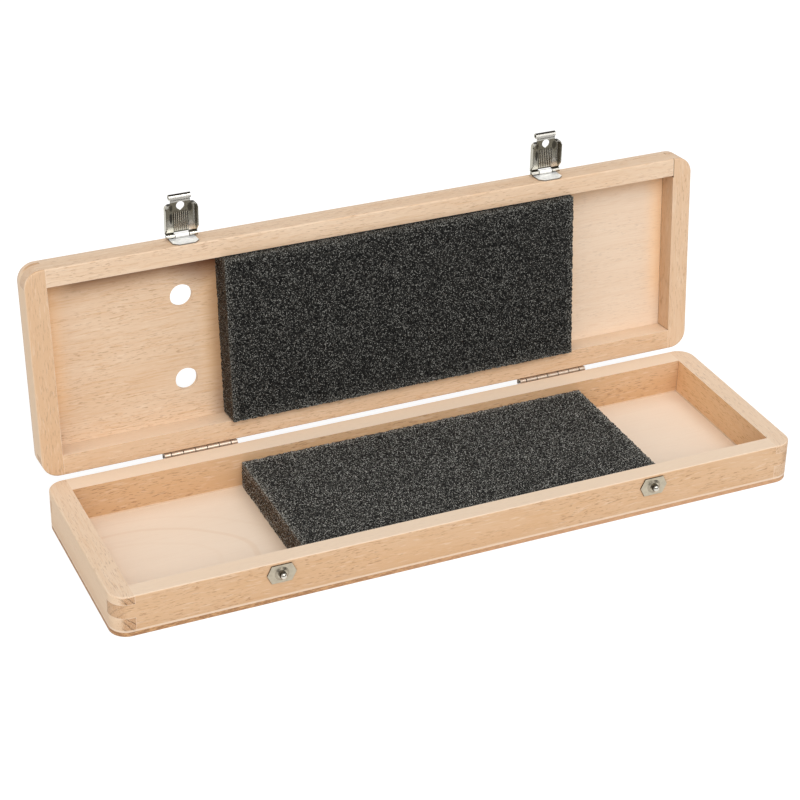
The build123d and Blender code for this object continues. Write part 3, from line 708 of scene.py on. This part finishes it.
def cover_finish(name, pin, middle):
    """pin and middle are the pin's height and the cover's centre line, in mm."""
    finish = Finish(name)
    place = in_mm(finish, shift=(-middle, 0, -pin))
    across, _, up = finish.axes(place)
    side, front, top = finish.axes(finish.source["Normal"])
    colour = sheet_reflections(finish, place, across, up)
    # painted highlight on the neck's bend
    colour = finish.mix(finish.smooth(up, NECK_SHINE - 0.15, NECK_SHINE + 0.15), colour, PAINTED_HIGHLIGHT)
    colour = finish.mix(finish.smooth(up, CREASE[1], CREASE[0]), colour, NICKEL)
    notch = finish.smooth(finish.size(across), NOTCH_HALF + 0.2, NOTCH_HALF - 0.2)
    from_barrel = finish.math("SUBTRACT", up, finish.times(notch, NOTCH_RISE))
    # painted shade in the crease where the barrel meets the sheet
    colour = finish.lay(colour, PAINTED_SHADE, finish.band(from_barrel, *CREASE, 0.15), 0.95)
    # painted shade below the barrel's foot
    colour = finish.mix(finish.smooth(up, BARREL_FOOT + 0.15, BARREL_FOOT - 0.15), colour, PAINTED_SHADE)
    # a painted dark shade line at the foot of the lip, then painted shade on the lip's top and
    # left
    colour = finish.lay(colour, PAINTED_SHADE, finish.band(up, LIP, LIP + 0.35, 0.12), 0.8)
    shaded = finish.math("MAXIMUM", finish.smooth(top, 0.45, 0.80),
                         finish.smooth(side, -0.5, -0.8))
    colour = finish.lay(colour, PAINTED_SHADE, finish.smooth(up, LIP, LIP + 0.3), shaded)
    # painted light and shade on the flanges' faces that look left
    flange = finish.mix(finish.smooth(across, -1.0, 1.0), LIT_FLANGE, SHADED_FLANGE)
    colour = finish.mix(finish.smooth(side, -0.6, -0.9), colour, flange)
    # painted shade on edges that face up or down
    colour = finish.lay(colour, PAINTED_SHADE, finish.smooth(finish.size(top), 0.75, 0.95),
                        finish.band(up, 2.5, SHEET_TOP + 0.8, 0.2))
    colour = finish.mix(finish.smooth(front, 0.3, 0.8), colour, NICKEL)
    return finish.finish(Base_Color=colour, Metallic=1.0, Roughness=0.24)


for side in ("left", "right"):
    low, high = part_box(f"latch_{side}_cover")
    middle = (low.x + high.x) / 2 / MM
    pin = JOINTS[f"latch_{side}_swing"]["pos_m"][2] / MM
    dress(f"latch_{side}_cover", cover_finish(f"cover_{side}_nickel", pin, middle))
    print(side, "cover hangs at", round(pin, 1), "mm, middle at", round(middle, 1),
          "mm, reaches up", round(high.z / MM - pin, 1), "mm")

# %% [markdown]
# ## The foam pads
#
# The pads are cut from open-cell foam, so their faces are rows of broken bubbles and their
# edges are ragged. A flat box with a bump map would keep a ruled outline, so the faces are
# really dented: a fine cuboid, pushed in wherever a cell's mouth is, and then a scatter of
# the thin struts that stand between cells. Geometry Nodes do both, from named sizes and a
# fixed seed. Cells only go inwards and struts keep inside the block, so the pad never grows
# past the space cut out for it.

# %% Foam: the node tree
SIDES = ("Length", "Width", "Height")
NUMBERS = (*SIDES, "Grid", "Cell", "Depth", "Torn", "Struts", "Edge Struts", "Wear", "Strut")
CROWDED = 0.7                      # wear above which the extra struts of an edge stand
STRUT_ENDS = (0.05 * MM, 0.11 * MM)
STRUT_ROOM = 0.55                  # of a strut, from its middle to the block's face


def edge_wear(tree, given, spot):
    """1 on an edge, fading to 0 at the named distance from it.

    Each axis gives how near its own two faces are. Only where two of them are near is an edge.
    """
    total = -1.0
    for axis, side in zip(tree.axes(spot), SIDES):
        half = tree.times(given[side], 0.5)
        near = tree.node("MapRange", {"Value": tree.size(axis), "From Max": half,
                                      "From Min": tree.math("SUBTRACT", half, given["Wear"])})
        total = tree.math("ADD", total, near.outputs[0])
    return tree.math("MAXIMUM", total)


def foam_tree():
    """Named sizes, a seed and a material in; a ragged pad centred on the origin out."""
    group = bpy.data.node_groups.new("open_cell_pad", "GeometryNodeTree")
    kinds = {**dict.fromkeys(NUMBERS, "Float"), "Seed": "Int", "Material": "Material"}
    ids = {name: group.interface.new_socket(name, in_out="INPUT",
                                            socket_type="NodeSocket" + kind).identifier
           for name, kind in kinds.items()}
    group.interface.new_socket("Geometry", in_out="OUTPUT", socket_type="NodeSocketGeometry")
    tree = Nodes(group)
    given = tree.node("NodeGroupInput").outputs
    seed = {"Seed": given["Seed"]}

    def steps(size):
        count = tree.math("ROUND", tree.math("DIVIDE", given[size], given["Grid"]))
        return tree.math("ADD", count, 1.0)

    size = tree.node("CombineXYZ", {i: given[side] for i, side in enumerate(SIDES)}).outputs[0]
    block = tree.node("GeometryNodeMeshCube", {"Size": size, "Vertices X": steps("Length"),
                                               "Vertices Y": steps("Width"),
                                               "Vertices Z": steps("Height")})
    spot = tree.node("GeometryNodeInputPosition").outputs[0]
    marked = tree.node("GeometryNodeStoreNamedAttribute",
                       {"Geometry": block.outputs["Mesh"], "Name": "wear",
                        "Value": edge_wear(tree, given, spot)},
                       data_type="FLOAT", domain="POINT")

    # Cells open inwards, and every vertex is torn in by its own random amount.
    bubble = tree.node("TexVoronoi", {"Vector": spot,
                                      "Scale": tree.math("DIVIDE", 1.0, given["Cell"])})
    mouth = tree.smooth(bubble.outputs["Distance"], 0.55, 0.10)
    torn = tree.node("FunctionNodeRandomValue", seed, data_type="FLOAT").outputs[1]
    pushed = tree.math("ADD", tree.times(mouth, given["Depth"]), tree.times(torn, given["Torn"]))
    normal = tree.node("GeometryNodeInputNormal").outputs[0]
    dented = tree.node("GeometryNodeSetPosition",
                       {"Geometry": marked.outputs[0],
                        "Offset": tree.vector("SCALE", normal, tree.times(pushed, -1.0))})

    # Loose struts stand all over, and closer together right on the edges.
    worn = tree.node("GeometryNodeInputNamedAttribute", {"Name": "wear"}, data_type="FLOAT")
    on_edge = tree.math("GREATER_THAN", worn.outputs[0], CROWDED)
    density = tree.math("ADD", given["Struts"], tree.times(on_edge, given["Edge Struts"]))
    points = tree.node("GeometryNodeDistributePointsOnFaces",
                       {"Mesh": dented.outputs[0], "Density": density, **seed})

    # Their middles are kept a little over half a strut inside the block, so none leaves it.
    room = tree.vector("SUBTRACT", tree.vector("SCALE", size, 0.5),
                       tree.times(given["Strut"], STRUT_ROOM))
    inside = tree.vector("MAXIMUM", tree.vector("MINIMUM", spot, room),
                         tree.vector("SCALE", room, -1.0))
    kept = tree.node("GeometryNodeSetPosition", {"Geometry": points.outputs["Points"],
                                                 "Position": inside})
    strut = tree.node("GeometryNodeMeshCone",
                      {"Vertices": 3, "Side Segments": 1, "Radius Top": STRUT_ENDS[0],
                       "Radius Bottom": STRUT_ENDS[1], "Depth": given["Strut"]})
    sunk = tree.node("CombineXYZ", {2: tree.times(given["Strut"], -0.5)})
    centred = tree.node("GeometryNodeTransform", {"Geometry": strut.outputs["Mesh"],
                                                  "Translation": sunk.outputs[0]})
    turn = tree.node("FunctionNodeRandomValue", {1: (math.tau,) * 3, **seed},
                     data_type="FLOAT_VECTOR")
    placed = tree.node("GeometryNodeInstanceOnPoints",
                       {"Points": kept.outputs[0], "Instance": centred.outputs[0],
                        "Rotation": turn.outputs[0]})
    joined = tree.node("GeometryNodeJoinGeometry", {"Geometry": placed.outputs[0]})
    tree.put(joined.inputs[0], dented.outputs[0])
    plain = tree.node("GeometryNodeRealizeInstances", {"Geometry": joined.outputs[0]})
    painted = tree.node("GeometryNodeSetMaterial", {"Geometry": plain.outputs[0],
                                                    "Material": given["Material"]})
    tree.put(tree.node("NodeGroupOutput").inputs[0], painted.outputs[0])
    return group, ids


pad_tree, pad_ids = foam_tree()
print("foam tree has", len(pad_tree.nodes), "nodes")

# %% Foam: colour
# Dark cell mouths are painted shade in the open cells, laid over cells at random.
MOUTH = (0.006, 0.006, 0.006)
WALL = (0.046, 0.045, 0.041)
GLINT = (0.600, 0.590, 0.540)
RUBBED_HIGHLIGHT = (0.130, 0.120, 0.100)
WOOD_BOUNCE_LIGHT = (0.095, 0.065, 0.042)       # painted bounce light off the wood, which warms the sides
CELLS_PER_MM = 1.7
WALLS_PER_MM = 2.1
LUCK = 0.62                        # a small wall with more than this is lit
WORN_LUCK = 0.30                   # less is needed on an edge


def foam_finish(name, level):
    """Dark cell mouths of painted shade, grey walls and small walls with painted glints of light,
    more along edges, where a paler band is wear and a painted highlight; the sides take painted
    bounce light.
    """
    finish = Finish(name)
    place = in_mm(finish)
    near, chance = finish.cells(finish.place(place, scale=(CELLS_PER_MM,) * 3))
    fine, luck = finish.cells(finish.place(place, scale=(WALLS_PER_MM,) * 3))
    colour = finish.mix(finish.smooth(chance, 0.30, 0.90), MOUTH, WALL)
    side = finish.smooth(finish.size(finish.axes(finish.source["Normal"])[0]), 0.5, 0.9)
    # painted warm bounce light on the sides
    colour = finish.lay(colour, WOOD_BOUNCE_LIGHT, side, finish.smooth(chance, 0.1, 0.7))
    wear = finish.node("Attribute", attribute_name="wear").outputs["Fac"]
    # a paler band along the edges, wear with a painted highlight, and more painted glints there
    rubbed_highlight = finish.math("MULTIPLY", finish.math("SUBTRACT", wear, side),
                         finish.smooth(chance, 0.2, 0.8), clamp=True)
    colour = finish.lay(colour, RUBBED_HIGHLIGHT, rubbed_highlight, 0.7)
    needed = finish.math("SUBTRACT", LUCK, finish.times(wear, WORN_LUCK))
    lucky = finish.math("DIVIDE", finish.math("SUBTRACT", luck, needed), 0.25, clamp=True)
    colour = finish.lay(colour, GLINT, lucky, finish.smooth(fine, 0.55, 0.30))
    colour = finish.mix(1.0, colour, (level,) * 3, blend="MULTIPLY")
    return finish.finish(Base_Color=colour, Roughness=0.75, Specular_IOR_Level=0.10,
                         Normal=finish.relief(0.7, 0.3, near))


# The pad in the lid faces the front and gets less light, so its finish is a copy darkened by
# painted shade.
CHARCOAL = {"base_pad": foam_finish("charcoal_foam", 1.0),
            "lid_pad": foam_finish("shaded_charcoal_foam", 0.56)}
print(len(CHARCOAL), "foam finishes ready")

# %% Foam: the two pads
# Struts are counted per square metre, and the rest are lengths.
PAD = {"Grid": 0.75 * MM, "Cell": 1.7 * MM, "Depth": 0.35 * MM, "Torn": 0.45 * MM,
       "Struts": 60000.0, "Edge Struts": 1500000.0, "Wear": 4.0 * MM, "Strut": 0.8 * MM}


def foam_pad(name, node, body, turn, seed):
    """A pad in the place of its CAD block, made at the origin and then set down."""
    low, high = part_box("base_foam_pad")          # both pads are cut to one size
    sizes = dict(zip(SIDES, high - low))
    holder = bpy.data.objects.new("pad_maker", bpy.data.meshes.new("pad_maker"))
    bpy.context.scene.collection.objects.link(holder)
    maker = holder.modifiers.new("foam", "NODES")
    maker.node_group = pad_tree
    for key, value in {**sizes, **PAD, "Seed": seed, "Material": CHARCOAL[name]}.items():
        maker[pad_ids[key]] = value
    done = holder.evaluated_get(bpy.context.evaluated_depsgraph_get())
    mesh = bpy.data.meshes.new_from_object(done)
    bpy.data.objects.remove(holder)
    box_low, box_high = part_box(node)
    mesh.transform(Matrix.Translation((box_low + box_high) / 2) @ Matrix.Rotation(turn, 4, "X"))
    mesh.name = name
    mesh.calc_loop_triangles()
    pad = bpy.data.objects.new(name, mesh)
    bpy.context.scene.collection.objects.link(pad)
    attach(pad, body)
    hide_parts(node)
    print(name, len(mesh.loop_triangles), "triangles")


foam_pad("base_pad", "base_foam_pad", "base", 0.0, 11)
foam_pad("lid_pad", "lid_foam_pad", "lid", -OPEN_ANGLE, 12)

# %% [markdown]
# ## Floor and light
#
# The box stands on white paper under one large soft lamp with plenty of fill. Suns light a
# floor evenly as far as it goes, so no edge shows from any side, and a wide angle makes
# their shadows soft. The paper is a little bright for the camera and for reflections alone,
# which keeps it white and still lets the shadow of the box fall on it.

# %% Floor
FLOOR_SIZE = 40.0
FLOOR_DROP = 0.1 * MM
PAPER_SHADED = (0.26,) * 3         # what the camera sees is this, lit, and a glow
PAPER_GLOW = 0.86
PAPER_LIT = (0.70,) * 3            # what lights the box from below
WHITE = (1.0,) * 3


def seen(tree):
    """1 for rays from the camera or off a mirror or through glass, and 0 for others."""
    rays = tree.node("LightPath").outputs
    return tree.math("MAXIMUM", rays["Is Camera Ray"],
                     tree.math("MAXIMUM", rays["Is Glossy Ray"], rays["Is Transmission Ray"]))


def paper():
    finish = Finish("white_paper")
    soft = finish.node("BsdfDiffuse", {"Color": PAPER_SHADED})
    glow = finish.node("Emission", {"Color": WHITE, "Strength": PAPER_GLOW})
    shown = finish.node("AddShader", {0: soft.outputs[0], 1: glow.outputs[0]})
    lit = finish.node("BsdfDiffuse", {"Color": PAPER_LIT})
    return finish.show(finish.node("MixShader", {0: seen(finish), 1: lit.outputs[0],
                                                 2: shown.outputs[0]}))


half = FLOOR_SIZE / 2
floor_mesh = bpy.data.meshes.new("floor")
floor_mesh.from_pydata([(x, y, cad_low.z - FLOOR_DROP) for x, y in
                        ((-half, -half), (half, -half), (half, half), (-half, half))],
                       [], [(0, 1, 2, 3)])
floor_mesh.materials.append(paper())
floor = bpy.data.objects.new("floor", floor_mesh)
bpy.context.scene.collection.objects.link(floor)
floor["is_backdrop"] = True
print("floor at", round(floor_mesh.vertices[0].co.z / MM, 2), "mm")

# %% Lamps and surroundings
# Azimuth (0 shines from the front and 90 from the right), elevation, strength, spread.
SUNS = {"key": (0, 45, 1.68, 40), "fill": (-55, 30, 0.85, 90)}
SKY_LIGHT = 0.46                   # of the white that the camera and reflections see

for name, (azimuth, elevation, strength, spread) in SUNS.items():
    lamp = bpy.data.lights.new(name, "SUN")
    lamp.energy = strength
    lamp.angle = math.radians(spread)
    placed = bpy.data.objects.new(name, lamp)
    bpy.context.scene.collection.objects.link(placed)
    a, e = math.radians(azimuth), math.radians(elevation)
    towards = Vector((math.sin(a) * math.cos(e), -math.cos(a) * math.cos(e), math.sin(e)))
    placed.rotation_euler = towards.to_track_quat("Z", "Y").to_euler()

world = bpy.data.worlds.new("studio")
world.use_nodes = True
bpy.context.scene.world = world
sky = Nodes(world.node_tree)
level = sky.node("MapRange", {"Value": seen(sky), "To Min": SKY_LIGHT, "To Max": 1.0})
background = world.node_tree.nodes["Background"]
sky.put(background.inputs["Color"], WHITE)
sky.put(background.inputs["Strength"], level.outputs["Result"])
bpy.context.scene.view_settings.view_transform = "Standard"
print(len(SUNS), "suns ready")

# %% [markdown]
# ## Dark cards for the metal
#
# In a room that is white all round, polished metal looks like plaster. A photographer stands
# dark cards in front of it, and the dark edges in the reflection draw its shape. These cards
# show in reflections alone: they shade nothing, and the camera never sees them.

# %% Dark cards
BLACK = (0.02,) * 3


def card(name, middle, width, height):
    """An upright card that faces the front of the box."""
    finish = Finish(name + "_black")
    mesh = bpy.data.meshes.new(name)
    mesh.from_pydata([Vector(middle) + Vector((u * width / 2, 0, v * height / 2))
                      for u, v in ((-1, -1), (1, -1), (1, 1), (-1, 1))], [], [(0, 1, 2, 3)])
    mesh.materials.append(finish.show(finish.node("BsdfDiffuse", {"Color": BLACK})))
    made = bpy.data.objects.new(name, mesh)
    bpy.context.scene.collection.objects.link(made)
    for ray in ("camera", "diffuse", "transmission", "shadow", "volume_scatter"):
        setattr(made, "visible_" + ray, False)
    made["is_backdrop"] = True


card("front_card", (0.10, cad_low.y - 0.07, 0.040), 1.2, 0.045)
card("camera_card", TARGET + backwards * 1.3, 0.50, 0.60)
print("cards set up")

# %% [markdown]
# ## Sizes
#
# The looks must not grow the object, so how far the box of the finished one outgrows the box of
# the solid model is printed, axis by axis.

# %% Sizes
low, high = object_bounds()
print("grown by", [round((a - b) / MM, 2) for a, b in zip(high - low, cad_high - cad_low)], "mm")
